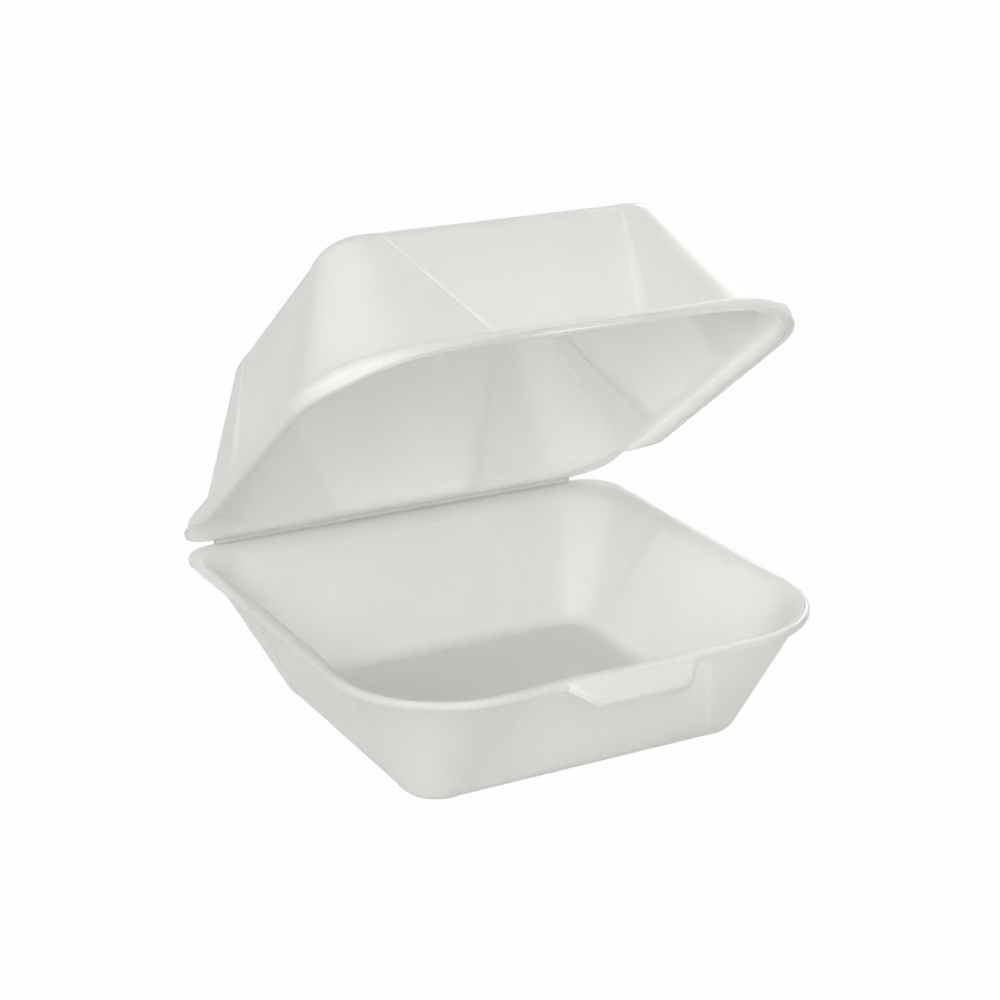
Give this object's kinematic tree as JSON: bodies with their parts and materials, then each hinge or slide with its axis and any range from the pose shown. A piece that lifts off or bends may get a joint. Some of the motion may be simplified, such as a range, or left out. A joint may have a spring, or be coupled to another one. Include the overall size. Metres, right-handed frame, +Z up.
{
  "type": "foam clamshell container",
  "caption": "Square white foam clamshell food box: a tapered tray with a sloping front tab and a domed lid with a hanging lip, joined by a pressed crease hinge.",
  "frame": {"origin": "centre of the flat face under the tray's floor", "axes": "+Z up, X along the hinge, -Y towards the opening tab, +Y towards the hinge"},
  "size_m": [0.1402, 0.1419, 0.1329],
  "materials": {
    "foam": "satin skin of fine closed cells"
  },
  "bodies": {
    "tray": {"tray": "foam"},
    "lid": {"lid": "foam"}
  },
  "joints": [
    {"name": "lid_hinge", "type": "hinge", "parent": "tray", "child": "lid", "pos_m": [0, 0.066, 0.03595], "axis": [-1, 0, 0], "range_deg": [-37, 128]}
  ]
}
